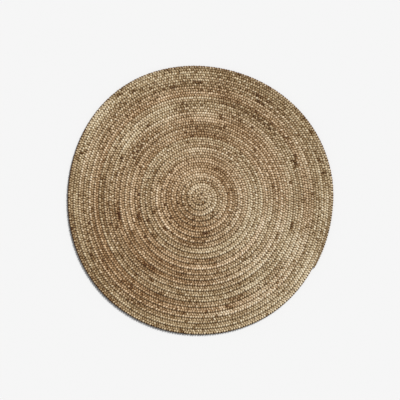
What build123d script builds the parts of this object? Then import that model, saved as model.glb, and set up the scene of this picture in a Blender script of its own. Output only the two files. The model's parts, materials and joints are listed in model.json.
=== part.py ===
from build123d import *
import os
from math import cos, radians, sin, sqrt

# Round area rug: one long plait of jute, wound into a flat spiral on its side-by-side
# edges and sewn turn to turn. All sizes in millimetres, all directions in degrees
# counter-clockwise from +X, seen from above. The plait winds outward clockwise.

# Driving dimensions of the plait
braid_pitch = 23.3        # middle of one turn to the middle of the next
seam_gap = 1.5            # open groove left between two turns at mid height
braid_thickness = 10.0    # underside to the crest of the strands
crest_spacing = 8.6       # between the two crests on top of the plait
valley_depth = 1.5        # the middle of the plait lies this far below its two crests
underside_radius = 3.0    # rounding between the flat underside and the flank

# Driving dimensions of the coil
half_turns = 51
end_direction = -28.0     # where the outer end lies
eye = Vector(-1.9, 12.1)  # where the plait starts, from the middle of the outline
lean_per_turn = 0.7       # each turn lies this much nearer to the direction of lean
oval = 8.0                # the rim stands out this much at the ends of the long axis
lengths_of_plait = 12     # hand-plaited lengths, joined end to end

# Thread, tacks and the tapered outer end
thread_diameter = 1.2
needle_thread_height = 7.8
bobbin_thread_height = 0.9
tack_height = 9.1
tip_angle = 38.0          # how far round the coil the taper and its tack reach
tip_width = 7.0
tip_thickness = 8.0
tip_rounding = 2.5

# Worked out from the driving dimensions
braid_width = braid_pitch - seam_gap
half_width = braid_width / 2
crest = crest_spacing / 2
crown_radius = (crest**2 + valley_depth**2) / (2 * valley_depth)
flank_drop = crown_radius - sqrt(crown_radius**2 - (half_width - crest) ** 2)
flank_height = braid_thickness - flank_drop
quarters = 2 * half_turns
start_direction = end_direction + 90 * quarters

os.makedirs("parts", exist_ok=True)


def towards(direction):
    """Unit vector in plan."""
    return Vector(cos(radians(direction)), sin(radians(direction)))


def quarter_radius(number):
    """Radius of the middle line in one quarter of a turn. It grows by half a pitch each
    half turn. Every other quarter is flatter, which makes the coil oval, and two
    quarters in four are a trifle larger, which makes it lean one way as it grows."""
    radius = braid_pitch / 2 * (1 + number // 2)
    grown = number / quarters
    flatter = oval / (sqrt(2) - 1) * grown
    radius += flatter if number % 2 else -flatter
    if number % 4 in (1, 2):
        radius += lean_per_turn / 2
    return radius


def coil_quarters():
    """The middle line of the plait as arcs of a quarter turn, each tangent to the last:
    (centre, radius, start direction, angle). The first two have no radius, because the
    plait starts there and the first turn is wound round its own end."""
    found = []
    centre = eye
    last_radius = 0.0
    for number in range(-2, quarters):
        radius = quarter_radius(number) if number >= 0 else 0.0
        direction = start_direction - 90 * number
        centre += towards(direction) * (last_radius - radius)
        found.append((centre, radius, direction, 90.0))
        last_radius = radius
    return found


def cross_plane(arc, outward=0.0, height=0.0):
    """The plane square to an arc at its start: X outward, Y up, Z along the plait."""
    centre, radius, direction, _ = arc
    origin = centre + towards(direction) * (radius + outward)
    return Plane(
        origin=(origin.X, origin.Y, height),
        x_dir=towards(direction),
        z_dir=towards(direction - 90),
    )


arcs = coil_quarters()
fold = arcs[:2]
turns = arcs[2:]

# The last quarter is parted where the taper begins
centre, radius, direction, angle = turns[-1]
turns[-1] = (centre, radius, direction, angle - tip_angle)
taper = (centre, radius, direction - angle + tip_angle, tip_angle)

# Section of the plait, standing on its flat underside: two crests with a valley between
with BuildSketch() as plait_section:
    with BuildLine():
        Line((0, 0), (half_width - underside_radius, 0))
        RadiusArc(
            (half_width - underside_radius, 0),
            (half_width, underside_radius),
            -underside_radius,
        )
        Line((half_width, underside_radius), (half_width, flank_height))
        ThreePointArc(
            (half_width, flank_height),
            (crest, braid_thickness),
            (0, braid_thickness - valley_depth),
        )
        mirror(about=Plane.YZ)
    make_face()

with BuildSketch() as half_section:
    add(plait_section.sketch)
    split(bisect_by=Plane.YZ, keep=Keep.TOP)


def plait_length(first, last, starts_coil, ends_coil):
    """One length of plait, from arc first up to arc last. The one that starts the coil
    has a rounded nose, and the one that ends it narrows to a thin tip."""
    with BuildPart() as length:
        with BuildLine():
            for centre, radius, direction, angle in turns[first:last]:
                CenterArc((centre.X, centre.Y), radius, direction, -angle)
        with BuildSketch(cross_plane(turns[first])):
            add(plait_section.sketch)
        sweep(clean=False)
        if starts_coil:
            with BuildSketch(cross_plane(turns[0])):
                add(half_section.sketch)
            revolve(axis=Axis((eye.X, eye.Y, 0), (0, 0, 1)), revolution_arc=180)
        if ends_coil:
            add(outer_tip())
    return length


def outer_tip():
    """The end of the coil, where the strands are thinned out and the plait narrows
    while it still lies against the turn inside it."""
    centre, radius, direction, angle = taper
    inner = radius - half_width
    wide = centre + towards(direction) * (inner + braid_width)
    narrow = centre + towards(direction - angle) * (inner + tip_width)
    with BuildPart() as tip:
        with BuildSketch():
            with BuildLine():
                against = CenterArc((centre.X, centre.Y), inner, direction, -angle)
                outside = TangentArc(
                    (wide.X, wide.Y),
                    (narrow.X, narrow.Y),
                    tangent=towards(direction - 90),
                )
                Line(against @ 0, outside @ 0)
                Line(against @ 1, outside @ 1)
            make_face()
        extrude(amount=tip_thickness)
        crown = tip.faces().sort_by(Axis.Z)[-1]
        rounded = ShapeList(
            edge for edge in crown.edges() if edge.length > braid_width
        )
        fillet(rounded, radius=tip_rounding)
    return tip.part


def thread_along(path_arcs, outward, height):
    """Thread that lies in the groove outside the given arcs of the coil."""
    with BuildPart() as thread:
        with BuildLine(Plane.XY.offset(height)):
            for centre, radius, direction, angle in path_arcs:
                CenterArc((centre.X, centre.Y), radius + outward, direction, -angle)
        with BuildSketch(cross_plane(path_arcs[0], outward, height)):
            Circle(thread_diameter / 2)
        sweep(clean=False)
    return thread


def finish(piece, name):
    piece.part.label = name
    export_step(piece.part, f"parts/{name}.step")


# Lengths of plait: as long as each other, so each one outward covers fewer turns
joints = [
    round(quarters * sqrt(number / lengths_of_plait))
    for number in range(lengths_of_plait + 1)
]
for number in range(lengths_of_plait):
    plait = plait_length(
        joints[number],
        joints[number + 1],
        starts_coil=number == 0,
        ends_coil=number == lengths_of_plait - 1,
    )
    finish(plait, f"braid_length_{number + 1:02d}")

# Zigzag seam between the turns: one thread seen from above, one from below
seam = arcs[:-4]
groove = braid_pitch / 2
needle_thread = thread_along(seam, groove, needle_thread_height)
finish(needle_thread, "needle_thread")
bobbin_thread = thread_along(seam, groove, bobbin_thread_height)
finish(bobbin_thread, "bobbin_thread")

# Tacks that hold the two ends of the plait, on top of the seam
centre_tack = thread_along(fold, groove, tack_height)
finish(centre_tack, "centre_tack")
centre, radius, direction, angle = seam[-1]
beside_tip = (centre, radius, direction - angle + tip_angle, tip_angle)
end_tack = thread_along([beside_tip], groove, tack_height)
finish(end_tack, "end_tack")

plait_metres = sum(radius * radians(angle) for _, radius, _, angle in arcs) / 1000
seam_metres = sum((radius + groove) * radians(angle) for _, radius, _, angle in seam) / 1000
print(f"plait {plait_metres:.2f} m, seam {seam_metres:.2f} m")
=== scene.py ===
import json

import bpy
import numpy as np
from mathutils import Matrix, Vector


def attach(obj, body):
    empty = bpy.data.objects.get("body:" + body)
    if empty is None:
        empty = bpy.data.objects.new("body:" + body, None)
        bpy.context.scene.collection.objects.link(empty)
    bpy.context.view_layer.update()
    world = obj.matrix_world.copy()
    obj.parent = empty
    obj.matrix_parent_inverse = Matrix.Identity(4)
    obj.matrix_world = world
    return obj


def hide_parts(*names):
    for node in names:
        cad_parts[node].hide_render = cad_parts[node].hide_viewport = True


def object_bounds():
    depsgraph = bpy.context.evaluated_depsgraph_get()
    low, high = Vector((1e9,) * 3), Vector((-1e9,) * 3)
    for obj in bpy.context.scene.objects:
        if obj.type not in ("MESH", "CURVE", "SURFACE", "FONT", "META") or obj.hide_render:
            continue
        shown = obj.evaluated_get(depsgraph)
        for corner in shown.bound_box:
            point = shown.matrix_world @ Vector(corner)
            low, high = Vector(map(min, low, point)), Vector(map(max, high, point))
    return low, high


# Round rug of one long three-strand jute plait, wound outward clockwise and sewn turn
# to turn. The CAD frame holds plain strips; here each length of plait gets its three
# interlaced strands with stray fibres, and each thread its real stitches.
# All sizes in metres, all angles in radians, counter-clockwise seen from above.

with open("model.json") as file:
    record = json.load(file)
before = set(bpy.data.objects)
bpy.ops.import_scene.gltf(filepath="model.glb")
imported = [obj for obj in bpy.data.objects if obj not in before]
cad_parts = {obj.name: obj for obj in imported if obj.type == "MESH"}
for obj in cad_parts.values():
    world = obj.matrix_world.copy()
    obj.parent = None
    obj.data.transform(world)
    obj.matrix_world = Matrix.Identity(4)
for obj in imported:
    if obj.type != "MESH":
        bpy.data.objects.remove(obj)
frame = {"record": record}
cad_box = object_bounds()

# ---------------------------------------------------------------- the coil, as in the CAD
PITCH = 0.0233               # middle of one turn to the middle of the next
SEAM_GAP = 0.0015
HALF_TURNS = 51
END_DIRECTION = np.radians(-28)
LEAN_PER_TURN = 0.0007
OVAL = 0.008
TIP_ANGLE = np.radians(38)
TIP_WIDTH = 0.007
TIP_THICKNESS = 0.008
LENGTHS = 12
NEEDLE_THREAD_HEIGHT = 0.0078
BOBBIN_THREAD_HEIGHT = 0.0009
TACK_HEIGHT = 0.0091

QUARTER = np.pi / 2
QUARTERS = 2 * HALF_TURNS
START_DIRECTION = END_DIRECTION + QUARTER * QUARTERS
HALF_WIDTH = (PITCH - SEAM_GAP) / 2
THICKNESS = cad_box[1][2] - cad_box[0][2]
underside = next(m for m in frame["record"]["mounts"] if m["name"] == "underside")
EYE = np.array(underside["pos_m"][:2])

# ---------------------------------------------------------------- the plait's strands
STRANDS = 3
STRAND_PERIOD = 0.0335       # along the plait, until a strand is back in its place
SWING = 0.0075               # how far a strand goes to either side
RISE = 0.0025                # and up and down
OUTER_CREST = 0.2            # puts the highest point of a strand nearer to the edge
LAP = 0.0006                 # each turn's outer edge stands this much higher
HALF_STRAND = (0.0045, 0.0058)         # half its width where strands cross, and at an edge
HALF_THICK = (0.0022, 0.0024)          # half its thickness there
ROLL = np.radians(12)        # how far a strand rolls over towards the edge
PLIES = 3
PLY_TWIST = 95.0             # radians per metre
PLY_DEPTH = 0.05
STATIONS_PER_PERIOD = 14
FLAT_STEP = 0.001
CORNERS = 12                 # points round one strand

PHASE_WANDER = 0.22          # radians that a strand runs ahead or behind
SWING_WANDER = 0.03          # shares by which the plait varies along its length
RISE_WANDER = 0.06
SIZE_WANDER = 0.05
LEAST_RISE = 0.45            # share of the rise that is left where the plait thins out
LEAST_THICK = 0.4            # and of the strands' thickness

# Tone runs from 0, dark, to 1, pale. Each weight goes with a smooth random function.
BASE_TONE = 0.515
LONG_TONE = 0.03
TURN_TONE = 0.06
STRAND_TONE = 0.14
PATCH_START = 0.72           # above this the function makes a dark patch on a strand
PATCH_TONE = 1.08
COLUMN_EDGE = 0.8            # how sharply the two columns of a plait are told apart
STREAK_TONE = 0.08
DASH_START = 0.82            # above this it makes a dark dash on one column
DASH_TONE = 3.0
# Painted shade and light: the sides of the strands are darker and their crests paler, as light
# and shade fall on them
RELIEF_SHADE_TONE = 0.72
RELIEF_SHADE_MIDDLE = 0.69
# Hue runs from 0, olive, to 1, rust
BASE_HUE = 0.5
LONG_HUE = 0.18
STRAND_HUE = 0.2
# Painted light and shade: paler and darker sectors round the rug, where the light falls across
# the plait (lobes, tone at the rim, direction of a crest)
PAINTED_LIGHT_WAVES = ((1, 0.075, np.radians(-3)), (2, 0.09, np.radians(141)))
SOILING = 0.012
SOILING_WAVELENGTHS = (0.12, 0.45)
SOILING_WAVES = 7
RIM_GREYING = 0.45           # the outermost turns are weathered
RIM_PALING = 0.06
RIM_BLEND = 3.0              # over this length of plait
# greying of the hue where the painted light and the soiling make the rug paler
LIGHT_AND_SOIL_GREYING = 1.2
EDGE_SHADE = 0.45             # painted shade on the outer edge of the last turn
EDGE_START = 0.8             # share of the swing beyond which a strand is at that edge

# The hand-made outline: (lobes, how far the rim stands out, direction of a crest)
OUTLINE_WAVES = ((3, 0.0030, np.radians(7)), (4, 0.0042, np.radians(37.5)))
RIM_RADIUS = (cad_box[1][0] - cad_box[0][0]) / 2

# ---------------------------------------------------------------- stitches and fibres
THREAD_RADIUS = 0.0005
THREAD_SIDES = 5
STITCH = 0.012
STITCH_REACH = 0.0029        # half the width of the zigzag
NEEDLE_SINK = 0.0006         # how far a stitch sinks into the plait at each side
BOBBIN_SINK = -0.0004
CENTRE_REACH, CENTRE_STITCH, CENTRE_SINK = 0.0048, 0.007, 0.0016
END_REACH, END_STITCH, END_SINK = 0.0044, 0.009, 0.0012
FIBRES_PER_LENGTH = 420
FIBRE_LENGTH = (0.006, 0.020)
FIBRE_RADIUS = 0.00009
FIBRE_SLOPE = 0.2            # stray fibres lie this much flatter than the strand does
FIBRE_LEAN = 1.1             # radians to either side of straight up, where they leave it
FIBRE_TURN = 0.9             # radians to either side of the strand's direction
FIBRE_LIFT = (0.04, 0.12)    # height of their arch, as a share of their length
FIBRE_OFFSET = 0.0016        # how far aside of the strand's middle line they start
FIBRE_POINTS = 5
FIBRE_SIDES = 3
FIBRE_TONE = 0.8

random = np.random.default_rng(20)


# ================================================================= the line of the coil
def direction_vector(angles):
    return np.stack([np.cos(angles), np.sin(angles)], axis=-1)


def coil_quarters():
    """The middle line of the plait as arcs of a quarter turn: (centre, radius, start
    direction, angle). The first two have no radius: they go round the plait's start."""
    found = []
    centre = EYE
    last_radius = 0.0
    for number in range(-2, QUARTERS):
        radius = 0.0
        if number >= 0:
            flatter = OVAL / (np.sqrt(2) - 1) * number / QUARTERS
            radius = PITCH / 2 * (1 + number // 2)
            radius += flatter if number % 2 else -flatter
            if number % 4 in (1, 2):
                radius += LEAN_PER_TURN / 2
        direction = START_DIRECTION - QUARTER * number
        centre = centre + direction_vector(direction) * (last_radius - radius)
        found.append((centre, radius, direction, QUARTER))
        last_radius = radius
    return found


ARCS = coil_quarters()
FOLD = ARCS[:2]
TURNS = ARCS[2:]
SEAM = ARCS[:-4]
GROOVE = PITCH / 2


def line_length(arcs, outward=0.0):
    return sum((radius + outward) * angle for _, radius, _, angle in arcs)


def along(arcs, distances, outward=0.0):
    """Points at these distances along a line that keeps this far outside the arcs, and
    the outward direction at each. Before its start the line is straight."""
    centres, radii, directions, angles = (np.array(column) for column in zip(*arcs))
    radii = radii + outward
    ends = np.cumsum(radii * angles)
    starts = ends - radii * angles
    number = np.clip(np.searchsorted(ends, distances, side="right"), 0, len(arcs) - 1)
    before = np.minimum(distances, 0)
    turned = (np.maximum(distances, 0) - starts[number]) / radii[number]
    facing = directions[number] - turned
    outwards = direction_vector(facing)
    points = centres[number] + radii[number, None] * outwards
    points += before[:, None] * direction_vector(facing - QUARTER)
    return points, outwards


def hand_made(points):
    """The coil's small unevenness, as a smooth shift of the whole plan outward."""
    x, y = points[:, 0], points[:, 1]
    angle = np.arctan2(y, x)
    grown = np.hypot(x, y) / RIM_RADIUS
    shift = sum(
        size * grown**2 * np.cos(lobes * (angle - crest))
        for lobes, size, crest in OUTLINE_WAVES
    )
    moved = points.copy()
    moved[:, 0] += shift * np.cos(angle)
    moved[:, 1] += shift * np.sin(angle)
    return moved


PLAIT_LENGTH = line_length(TURNS)
RIM_START = PLAIT_LENGTH - 3 * RIM_BLEND
LAST_TURN = line_length(TURNS[:-4])
TAPER_START = PLAIT_LENGTH - TURNS[-1][1] * TIP_ANGLE


def wander(spacing, first=-HALF_WIDTH, last=PLAIT_LENGTH):
    """A smooth random function of the distance along the plait, mostly from -1 to 1."""
    knots = np.arange(first - spacing, last + 2 * spacing, spacing)
    values = random.uniform(-1, 1, len(knots))

    def value(distances):
        place = (distances - knots[0]) / spacing
        number = np.clip(place.astype(int), 0, len(knots) - 2)
        part = place - number
        part = part * part * (3 - 2 * part)
        return values[number] * (1 - part) + values[number + 1] * part

    return value


# ================================================================= meshes
class Pile:
    """Gathers tubes into one mesh, with what the material reads at each point."""

    def __init__(self):
        self.points, self.faces, self.fibre, self.tone, self.hue = [], [], [], [], []
        self.count = 0

    def add_tube(self, rings, fibre, tone, hue):
        """rings is stations x corners x 3. Each end closes on a point in its middle."""
        stations, corners = rings.shape[:2]
        middles = np.stack([rings[0].mean(axis=0), rings[-1].mean(axis=0)])
        self.points.append(np.concatenate([rings.reshape(-1, 3), middles]))
        fibre_ends = np.stack([fibre[0].mean(axis=0), fibre[-1].mean(axis=0)])
        self.fibre.append(np.concatenate([fibre.reshape(-1, 3), fibre_ends]))
        for store, values in ((self.tone, tone), (self.hue, hue)):
            spread = np.broadcast_to(values, rings.shape[:2])
            store.append(np.concatenate([spread.ravel(), spread[[0, -1], 0]]))
        station, corner = np.meshgrid(
            np.arange(stations - 1), np.arange(corners), indexing="ij"
        )
        following = (corner + 1) % corners
        near, far = station * corners, (station + 1) * corners
        quads = np.stack(
            [near + corner, near + following, far + following, far + corner], axis=-1
        )
        self.faces.append(quads.reshape(-1, 4) + self.count)
        start, end = stations * corners, stations * corners + 1
        ring = np.arange(corners)
        after = (ring + 1) % corners
        last = (stations - 1) * corners
        caps = [np.stack([after, ring, np.full(corners, start)], axis=-1)]
        caps.append(np.stack([last + ring, last + after, np.full(corners, end)], axis=-1))
        self.faces.append(np.concatenate(caps) + self.count)
        self.count += stations * corners + 2

    def mesh(self, name):
        points = hand_made(np.concatenate(self.points))
        points[:, 2] = np.maximum(points[:, 2], 0)
        sizes = np.concatenate([np.full(len(f), f.shape[1]) for f in self.faces])
        corners = np.concatenate([f.reshape(-1) for f in self.faces])
        mesh = bpy.data.meshes.new(name)
        mesh.vertices.add(len(points))
        mesh.vertices.foreach_set("co", points.astype(np.float32).ravel())
        mesh.loops.add(len(corners))
        mesh.loops.foreach_set("vertex_index", corners.astype(np.int32))
        mesh.polygons.add(len(sizes))
        starts = np.cumsum(sizes) - sizes
        mesh.polygons.foreach_set("loop_start", starts.astype(np.int32))
        mesh.update(calc_edges=True)
        for label, kind, values in (
            ("fibre", "FLOAT_VECTOR", self.fibre),
            ("tone", "FLOAT", self.tone),
            ("hue", "FLOAT", self.hue),
        ):
            attribute = mesh.attributes.new(label, kind, "POINT")
            field = "vector" if kind == "FLOAT_VECTOR" else "value"
            values = np.concatenate(values).astype(np.float32)
            attribute.data.foreach_set(field, values.ravel())
        mesh.shade_smooth()
        return mesh


def unit(vectors):
    return vectors / np.linalg.norm(vectors, axis=-1, keepdims=True)


def directions_of(line):
    """Along, level across and up, at each point of a line."""
    forward = unit(np.gradient(line, axis=0))
    across = unit(np.cross((0.0, 0.0, 1.0), forward))
    return forward, across, np.cross(forward, across)


def rings_round(line, across, up, half_width, half_thick, swell=None):
    """Oval rings round a line. Returns the rings, and each point's place in its ring."""
    corners = CORNERS if swell is not None else THREAD_SIDES
    angles = 2 * np.pi * np.arange(corners) / corners
    scale = 1.0 if swell is None else 1 + swell(angles)
    flat = half_width[:, None] * np.cos(angles) * scale
    high = half_thick[:, None] * np.sin(angles) * scale
    rings = line[:, None] + flat[..., None] * across[:, None] + high[..., None] * up[:, None]
    return rings, angles


# ---------------------------------------------------------------- plait
width_wander = wander(0.35)
height_wander = wander(0.22)
long_tone = wander(1.7)
turn_tone = wander(0.30)
long_hue = wander(2.3)
STRAND_SPACINGS = {"phase": 0.16, "size": 0.09, "tone": 0.1, "patch": 0.045, "hue": 0.4}
strand_wanders = [
    {name: wander(spacing) for name, spacing in STRAND_SPACINGS.items()}
    for _ in range(STRANDS)
]
column_wanders = [{"streak": wander(0.3), "dash": wander(0.03)} for _ in range(2)]


soiling_waves = [
    (2 * np.pi / random.uniform(*SOILING_WAVELENGTHS), random.uniform(0, 2 * np.pi, 2))
    for _ in range(SOILING_WAVES)
]


def painted_light_and_soiling(points):
    """How much paler than the rest the rug is at a point, from painted light and shade in
    sectors round it and from soiling.
    """
    x, y = points[:, 0], points[:, 1]
    angle = np.arctan2(y, x)
    out = np.sqrt(np.minimum(np.hypot(x, y) / RIM_RADIUS, 1))
    # painted light and shade: paler and darker sectors round the rug
    light_and_soiling = sum(
        tone * out * np.cos(lobes * (angle - crest)) for lobes, tone, crest in PAINTED_LIGHT_WAVES
    )
    soiled = sum(
        np.cos(number * (points[:, :2] @ direction_vector(turn)) + shift)
        for number, (turn, shift) in soiling_waves
    )
    return light_and_soiling + SOILING * soiled


def fullness(distances):
    """1 along the plait, less at its rounded start and its thinned-out end."""
    start = np.sqrt(np.clip(1 - (np.minimum(distances, 0) / HALF_WIDTH) ** 2, 0.02, 1))
    into_taper = (distances - TAPER_START) / (PLAIT_LENGTH - TAPER_START)
    narrowest = TIP_WIDTH / (2 * HALF_WIDTH)
    return start * (1 - (1 - narrowest) * np.clip(into_taper, 0, 1))


def strand_line(number, distances):
    """The middle line of a strand, the phase of its swing, and how full it is."""
    wanders = strand_wanders[number]
    phase = 2 * np.pi * (distances / STRAND_PERIOD + number / STRANDS)
    phase += PHASE_WANDER * wanders["phase"](distances)
    full = fullness(distances)
    middle, outwards = along(TURNS, distances)
    tapering = distances > TAPER_START
    inward = np.where(tapering, HALF_WIDTH * (1 - full), 0)
    swing = SWING * full * (1 + SWING_WANDER * width_wander(distances))
    level = THICKNESS / 2 * (1 - (1 - TIP_THICKNESS / THICKNESS) * (1 - full))
    rise = RISE * (1 + RISE_WANDER * height_wander(distances))
    rise *= LEAST_RISE + (1 - LEAST_RISE) * full
    plan = middle + outwards * (swing * np.sin(phase) - inward)[:, None]
    height = level + rise * (np.sin(2 * phase) - OUTER_CREST * np.sin(4 * phase))
    height += LAP * full * np.sin(phase)
    return np.column_stack([plan, height]), phase, full


def flat_length(first, last):
    """How long a strand of this stretch of plait is when it is combed out straight."""
    distances = np.linspace(first, last, int((last - first) / FLAT_STEP) + 1)
    line, _, _ = strand_line(0, distances)
    return float(np.linalg.norm(np.diff(line, axis=0), axis=1).sum())


def add_strand(pile, number, first, last):
    step = STRAND_PERIOD / STATIONS_PER_PERIOD
    distances = np.linspace(first, last, int((last - first) / step) + 1)
    wanders = strand_wanders[number]
    line, phase, full = strand_line(number, distances)
    forward, across, up = directions_of(line)
    roll = ROLL * np.sin(2 * phase) * np.sin(phase)
    rolled = across * np.cos(roll)[:, None] - up * np.sin(roll)[:, None]
    lifted = up * np.cos(roll)[:, None] + across * np.sin(roll)[:, None]
    at_edge = np.sin(phase) ** 4
    size = (1 + SIZE_WANDER * wanders["size"](distances)) * full
    half_width = (HALF_STRAND[0] + (HALF_STRAND[1] - HALF_STRAND[0]) * at_edge) * size
    half_thick = HALF_THICK[0] + (HALF_THICK[1] - HALF_THICK[0]) * at_edge
    half_thick *= LEAST_THICK + (1 - LEAST_THICK) * size
    twist = PLY_TWIST * distances

    def swell(angles):
        return PLY_DEPTH * np.cos(PLIES * (angles - twist[:, None]))

    rings, angles = rings_round(line, rolled, lifted, half_width, half_thick, swell)
    turned = angles - twist[:, None] / PLIES
    strand_offset = 80.0 * number
    place = np.broadcast_to((distances + strand_offset)[:, None], turned.shape)
    fibre = np.stack(
        [HALF_STRAND[0] * np.cos(turned), HALF_STRAND[0] * np.sin(turned), place], axis=-1
    )
    patch = np.clip(wanders["patch"](distances) - PATCH_START, 0, 1)
    side = np.clip(0.5 + COLUMN_EDGE * np.sin(phase), 0, 1)
    tone = BASE_TONE + LONG_TONE * long_tone(distances) + TURN_TONE * turn_tone(distances)
    tone += STRAND_TONE * wanders["tone"](distances) - PATCH_TONE * patch
    for share, column in ((side, column_wanders[0]), (1 - side, column_wanders[1])):
        dash = np.clip(column["dash"](distances) - DASH_START, 0, 1)
        tone += share * (STREAK_TONE * column["streak"](distances) - DASH_TONE * dash)
    # painted light and shade in sectors round the rug, and soiling
    light_and_soiling = painted_light_and_soiling(line)
    weathered = np.clip((distances - RIM_START) / RIM_BLEND, 0, 1)
    tone += light_and_soiling + RIM_PALING * weathered
    # painted shade: the outward-facing edge of the last turn is darkened
    outermost = np.clip((np.sin(phase) - EDGE_START) / (1 - EDGE_START), 0, 1)
    tone -= EDGE_SHADE * outermost * (distances > LAST_TURN)
    # painted shade: darker down the strands' sides, paler on their crests
    crest = np.abs(rings[..., 2] / (THICKNESS / 2) - 1)
    tone = tone[:, None] + RELIEF_SHADE_TONE * (crest - RELIEF_SHADE_MIDDLE)
    hue = BASE_HUE + LONG_HUE * long_hue(distances) + STRAND_HUE * wanders["hue"](distances)
    # the hue greys with the painted light and the soiling
    hue -= LIGHT_AND_SOIL_GREYING * light_and_soiling
    hue -= RIM_GREYING * weathered
    pile.add_tube(rings, fibre, tone, hue[:, None])


def add_fibres(pile, first, last, count):
    """Stray fibres that stand out of the strands' upper halves."""
    for number in range(STRANDS):
        distances = np.sort(random.uniform(first, last, count // STRANDS * 2))
        line, phase, _ = strand_line(number, distances)
        near, _, _ = strand_line(number, distances + 0.001)
        keep = np.sin(2 * phase) > -0.3      # the upper part of the strand's way
        line, near, phase, distances = line[keep], near[keep], phase[keep], distances[keep]
        forward = unit(near - line)
        across = unit(np.cross((0.0, 0.0, 1.0), forward))
        up = np.cross(forward, across)
        lean = random.uniform(-FIBRE_LEAN, FIBRE_LEAN, len(line))
        normal = up * np.cos(lean)[:, None] + across * np.sin(lean)[:, None]
        surface = line + normal * HALF_THICK[0]
        surface += across * (np.sin(lean) * FIBRE_OFFSET)[:, None]
        turn = random.uniform(-FIBRE_TURN, FIBRE_TURN, len(line))
        sense = random.choice([-1.0, 1.0], len(line))
        run = forward * (np.cos(turn) * sense)[:, None] + across * np.sin(turn)[:, None]
        run = unit(run * (1, 1, FIBRE_SLOPE))
        length = random.uniform(*FIBRE_LENGTH, len(line))
        lift = random.uniform(*FIBRE_LIFT, len(line))
        for index in range(len(line)):
            add_one_fibre(pile, surface[index], run[index], normal[index],
                          length[index], lift[index], distances[index])


def add_one_fibre(pile, root, run, normal, length, lift, distance):
    """A thin curved fibre: it leaves the strand, arches over and comes down again."""
    part = np.linspace(0, 1, FIBRE_POINTS)
    arch = lift * length * (part - 0.75 * part**2) * 1.6
    line = root + np.outer(part * length, run) + np.outer(arch, normal)
    line[:, 2] = np.maximum(line[:, 2], FIBRE_RADIUS)
    forward, across, up = directions_of(line)
    radius = FIBRE_RADIUS * (1 - 0.6 * part)
    angles = 2 * np.pi * np.arange(FIBRE_SIDES) / FIBRE_SIDES
    rings = line[:, None] + radius[:, None, None] * (
        np.cos(angles)[:, None] * across[:, None] + np.sin(angles)[:, None] * up[:, None]
    )
    fibre = np.zeros((FIBRE_POINTS, FIBRE_SIDES, 3))
    fibre[..., 2] = distance + part[:, None]
    pile.add_tube(rings, fibre, FIBRE_TONE, BASE_HUE)


# ---------------------------------------------------------------- thread
def stitches(arcs, height, reach, stitch, sink):
    """A zigzag across the groove outside the arcs. It sinks into the plait at each side."""
    total = line_length(arcs, GROOVE)
    legs = max(2, int(total / (stitch / 2)))
    places = np.linspace(0, total, 2 * legs + 1)
    side = np.tile([1.0, 0.0, -1.0, 0.0], legs // 2 + 1)[: len(places)]
    points, outwards = along(arcs, places, GROOVE)
    plan = points + outwards * (side * reach)[:, None]
    level = height - sink * np.abs(side)
    return np.column_stack([plan, level]), places


def add_thread(pile, line, places):
    forward, across, up = directions_of(line)
    radius = np.full(len(line), THREAD_RADIUS)
    rings, angles = rings_round(line, across, up, radius, radius)
    turned = np.broadcast_to(angles, rings.shape[:2])
    place = np.broadcast_to(places[:, None], turned.shape)
    fibre = np.stack(
        [THREAD_RADIUS * np.cos(turned), THREAD_RADIUS * np.sin(turned), place], axis=-1
    )
    pile.add_tube(rings, fibre, 0.5, BASE_HUE)


# ================================================================= materials
STREAK_WEIGHT = 0.75         # weights of the noises in the tone
YARN_WEIGHT = 0.7
TUFT_WEIGHT = 1.1
TUFT_SCALE = (230.0, 230.0, 90.0)
FLECK_SCALE = (290.0, 290.0, 75.0)
FLECK_STOPS = ((0.63, (0.0, 0.0, 0.0)), (0.70, (1.0, 1.0, 1.0)))
FLECK = (0.085, 0.036, 0.010)
OLIVE_BELOW = 0.62           # hues at which each tint begins
RUST_ABOVE = 0.5
OLIVE = (0.86, 0.93, 0.88)
RUST = (1.0, 0.84, 0.68)
MOST_TINT = 0.6
ROUGHNESS_SPREAD = 0.12


def node_of(tree, kind, **settings):
    node = tree.nodes.new(kind)
    for name, value in settings.items():
        setattr(node, name, value)
    return node


def colour_ramp(tree, stops):
    ramp = tree.nodes.new("ShaderNodeValToRGB")
    elements = ramp.color_ramp.elements
    while len(elements) < len(stops):
        elements.new(0.5)
    for element, (position, colour) in zip(elements, stops):
        element.position = position
        element.color = (*colour, 1)
    return ramp


def scaled_noise(tree, source, scale, detail, roughness=0.55):
    """Noise of the place along and round the strand, stretched along it."""
    stretch = node_of(tree, "ShaderNodeVectorMath", operation="MULTIPLY")
    stretch.inputs[1].default_value = scale
    noise = tree.nodes.new("ShaderNodeTexNoise")
    noise.inputs["Scale"].default_value = 1.0
    noise.inputs["Detail"].default_value = detail
    noise.inputs["Roughness"].default_value = roughness
    tree.links.new(source, stretch.inputs[0])
    tree.links.new(stretch.outputs[0], noise.inputs["Vector"])
    return noise.outputs["Fac"]


def maths(tree, operation, *values):
    node = node_of(tree, "ShaderNodeMath", operation=operation)
    for socket, value in zip(node.inputs, values):
        if isinstance(value, float):
            socket.default_value = value
        else:
            tree.links.new(value, socket)
    return node.outputs[0]


def mixed(tree, blend, share, first, second):
    """Blends two colours. share is a number or a socket."""
    node = node_of(tree, "ShaderNodeMix", data_type="RGBA", blend_type=blend)
    for socket, value in zip((node.inputs[0], node.inputs[6], node.inputs[7]),
                             (share, first, second)):
        if isinstance(value, float):
            socket.default_value = value
        elif isinstance(value, tuple):
            socket.default_value = (*value, 1)
        else:
            tree.links.new(value, socket)
    return node.outputs[2]


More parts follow.
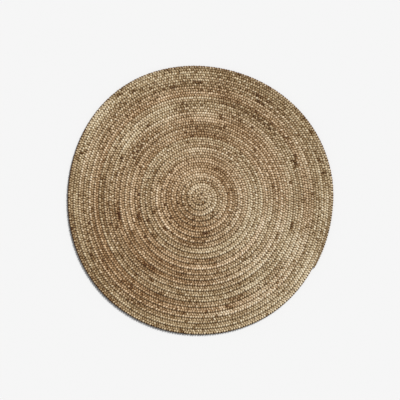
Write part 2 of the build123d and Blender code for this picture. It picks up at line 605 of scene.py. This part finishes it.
def fibre_material(name, stops, streak_scale, yarn_scale, bump_distance, roughness):
    """Bast fibre: pale and dark streaks along the strand, slow changes of tone and hue
    from one stretch to the next, dark flecks, and a soft sheen."""
    material = bpy.data.materials.new(name)
    material.use_nodes = True
    tree = material.node_tree
    shader = tree.nodes["Principled BSDF"]
    place = node_of(tree, "ShaderNodeAttribute", attribute_name="fibre").outputs["Vector"]
    tone = node_of(tree, "ShaderNodeAttribute", attribute_name="tone").outputs["Fac"]
    hue = node_of(tree, "ShaderNodeAttribute", attribute_name="hue").outputs["Fac"]
    streak = scaled_noise(tree, place, streak_scale, 3.0, 0.6)
    yarn = scaled_noise(tree, place, yarn_scale, 2.0)
    tuft = scaled_noise(tree, place, TUFT_SCALE, 2.0)
    fleck = scaled_noise(tree, place, FLECK_SCALE, 1.0)
    total = tone
    for noise, weight in ((streak, STREAK_WEIGHT), (yarn, YARN_WEIGHT), (tuft, TUFT_WEIGHT)):
        shade = maths(tree, "MULTIPLY_ADD", noise, weight, -weight / 2)
        total = maths(tree, "ADD", total, shade)
    ramp = colour_ramp(tree, stops)
    tree.links.new(total, ramp.inputs[0])
    olive_share = maths(tree, "MULTIPLY", maths(tree, "SUBTRACT", OLIVE_BELOW, hue), 1.6)
    rust_share = maths(tree, "MULTIPLY", maths(tree, "SUBTRACT", hue, RUST_ABOVE), 1.2)
    clamps = []
    for share in (olive_share, rust_share):
        clamp = node_of(tree, "ShaderNodeClamp")
        clamp.inputs["Max"].default_value = MOST_TINT
        tree.links.new(share, clamp.inputs["Value"])
        clamps.append(clamp.outputs[0])
    coloured = mixed(tree, "MULTIPLY", clamps[0], ramp.outputs[0], OLIVE)
    coloured = mixed(tree, "MULTIPLY", clamps[1], coloured, RUST)
    fleck_ramp = colour_ramp(tree, FLECK_STOPS)
    tree.links.new(fleck, fleck_ramp.inputs[0])
    coloured = mixed(tree, "MIX", fleck_ramp.outputs[0], coloured, FLECK)
    tree.links.new(coloured, shader.inputs["Base Color"])
    gloss = node_of(tree, "ShaderNodeMapRange")
    gloss.inputs["To Min"].default_value = roughness + ROUGHNESS_SPREAD
    gloss.inputs["To Max"].default_value = roughness - ROUGHNESS_SPREAD
    tree.links.new(streak, gloss.inputs["Value"])
    tree.links.new(gloss.outputs[0], shader.inputs["Roughness"])
    bump = tree.nodes.new("ShaderNodeBump")
    bump.inputs["Strength"].default_value = 0.85
    bump.inputs["Distance"].default_value = bump_distance
    tree.links.new(streak, bump.inputs["Height"])
    tree.links.new(bump.outputs[0], shader.inputs["Normal"])
    shader.inputs["Specular IOR Level"].default_value = 0.22
    shader.inputs["Sheen Weight"].default_value = 0.12
    shader.inputs["Sheen Roughness"].default_value = 0.45
    shader.inputs["Sheen Tint"].default_value = (1.0, 0.78, 0.46, 1)
    return material


JUTE_STOPS = (
    (0.0, (0.058, 0.018, 0.0025)),
    (0.25, (0.165, 0.083, 0.024)),
    (0.5, (0.385, 0.262, 0.142)),
    (0.75, (0.64, 0.49, 0.325)),
    (1.0, (0.81, 0.68, 0.52)),
)
THREAD_STOPS = (
    (0.1, (0.20, 0.115, 0.05)),
    (0.5, (0.38, 0.25, 0.13)),
    (0.9, (0.58, 0.43, 0.26)),
)
jute = fibre_material("jute", JUTE_STOPS, (1050.0, 1050.0, 42.0), (330.0, 330.0, 14.0),
                      0.0005, 0.66)
thread = fibre_material("thread", THREAD_STOPS, (2600.0, 2600.0, 420.0),
                        (700.0, 700.0, 60.0), 0.0002, 0.58)


# ================================================================= pieces
def piece(pile, name, material, nodes):
    mesh = pile.mesh(name)
    mesh.materials.append(material)
    made = bpy.data.objects.new(name, mesh)
    bpy.context.scene.collection.objects.link(made)
    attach(made, "root")
    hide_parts(*nodes)
    return made


joints = [round(QUARTERS * np.sqrt(number / LENGTHS)) for number in range(LENGTHS + 1)]
for number in range(LENGTHS):
    first = line_length(TURNS[: joints[number]]) if number else -HALF_WIDTH
    last = line_length(TURNS[: joints[number + 1]])
    pile = Pile()
    for strand in range(STRANDS):
        add_strand(pile, strand, first, last)
    add_fibres(pile, max(first, 0), last, FIBRES_PER_LENGTH)
    label = f"{number + 1:02d}"
    plait = piece(pile, f"plait_{label}", jute, [f"braid_length_{label}"])
    flat_length(first, last)

for name, node, arcs, height, reach, stitch, sink, slot in (
    ("needle_stitches", "needle_thread", SEAM, NEEDLE_THREAD_HEIGHT, STITCH_REACH,
     STITCH, NEEDLE_SINK, "seam_thread"),
    ("bobbin_stitches", "bobbin_thread", SEAM, BOBBIN_THREAD_HEIGHT, STITCH_REACH,
     STITCH, BOBBIN_SINK, "seam_thread"),
    ("centre_stitches", "centre_tack", FOLD, TACK_HEIGHT, CENTRE_REACH, CENTRE_STITCH,
     CENTRE_SINK, "tack_thread"),
):
    pile = Pile()
    add_thread(pile, *stitches(arcs, height, reach, stitch, sink))
    piece(pile, name, thread, [node])

centre, radius, direction, angle = SEAM[-1]
beside_tip = [(centre, radius, direction - angle + TIP_ANGLE, TIP_ANGLE)]
pile = Pile()
add_thread(pile, *stitches(beside_tip, TACK_HEIGHT, END_REACH, END_STITCH, END_SINK))
piece(pile, "end_stitches", thread, ["end_tack"])

# ================================================================= floor, light, camera
FLOOR_SIZE = 60.0
FLOOR_COLOUR = (0.80, 0.80, 0.80)
AMBIENT = 0.30
SUN_STRENGTH = 4.65
SUN_AZIMUTH = np.radians(50)
SUN_ELEVATION = np.radians(35)
SUN_SIZE = np.radians(18)
LENS = 85.0
SENSOR = 36.0
VIEW_WIDTH = 1.786

floor_mesh = bpy.data.meshes.new("floor")
half = FLOOR_SIZE / 2
floor_mesh.from_pydata(
    [(-half, -half, 0), (half, -half, 0), (half, half, 0), (-half, half, 0)], [], [(0, 1, 2, 3)]
)
floor = bpy.data.objects.new("floor", floor_mesh)
bpy.context.scene.collection.objects.link(floor)
paint = bpy.data.materials.new("floor_paint")
paint.use_nodes = True
paint_shader = paint.node_tree.nodes["Principled BSDF"]
paint_shader.inputs["Base Color"].default_value = (*FLOOR_COLOUR, 1)
paint_shader.inputs["Roughness"].default_value = 0.9
paint_shader.inputs["Specular IOR Level"].default_value = 0.1
floor_mesh.materials.append(paint)

world = bpy.data.worlds.new("studio")
bpy.context.scene.world = world
world.use_nodes = True
world.node_tree.nodes["Background"].inputs["Color"].default_value = (1, 1, 1, 1)
world.node_tree.nodes["Background"].inputs["Strength"].default_value = AMBIENT

sun_light = bpy.data.lights.new("key", "SUN")
sun_light.energy = SUN_STRENGTH
sun_light.angle = SUN_SIZE
sun = bpy.data.objects.new("key", sun_light)
bpy.context.scene.collection.objects.link(sun)
towards_sun = Vector((
    np.cos(SUN_ELEVATION) * np.cos(SUN_AZIMUTH),
    np.cos(SUN_ELEVATION) * np.sin(SUN_AZIMUTH),
    np.sin(SUN_ELEVATION),
))
sun.rotation_euler = towards_sun.to_track_quat("Z", "Y").to_euler()

camera_data = bpy.data.cameras.new("camera")
camera_data.lens = LENS
camera_data.sensor_width = SENSOR
camera = bpy.data.objects.new("camera", camera_data)
bpy.context.scene.collection.objects.link(camera)
camera.location = (0, 0, VIEW_WIDTH / 2 / (SENSOR / 2 / LENS) + THICKNESS)
bpy.context.scene.camera = camera
bpy.context.scene.view_settings.view_transform = "Standard"
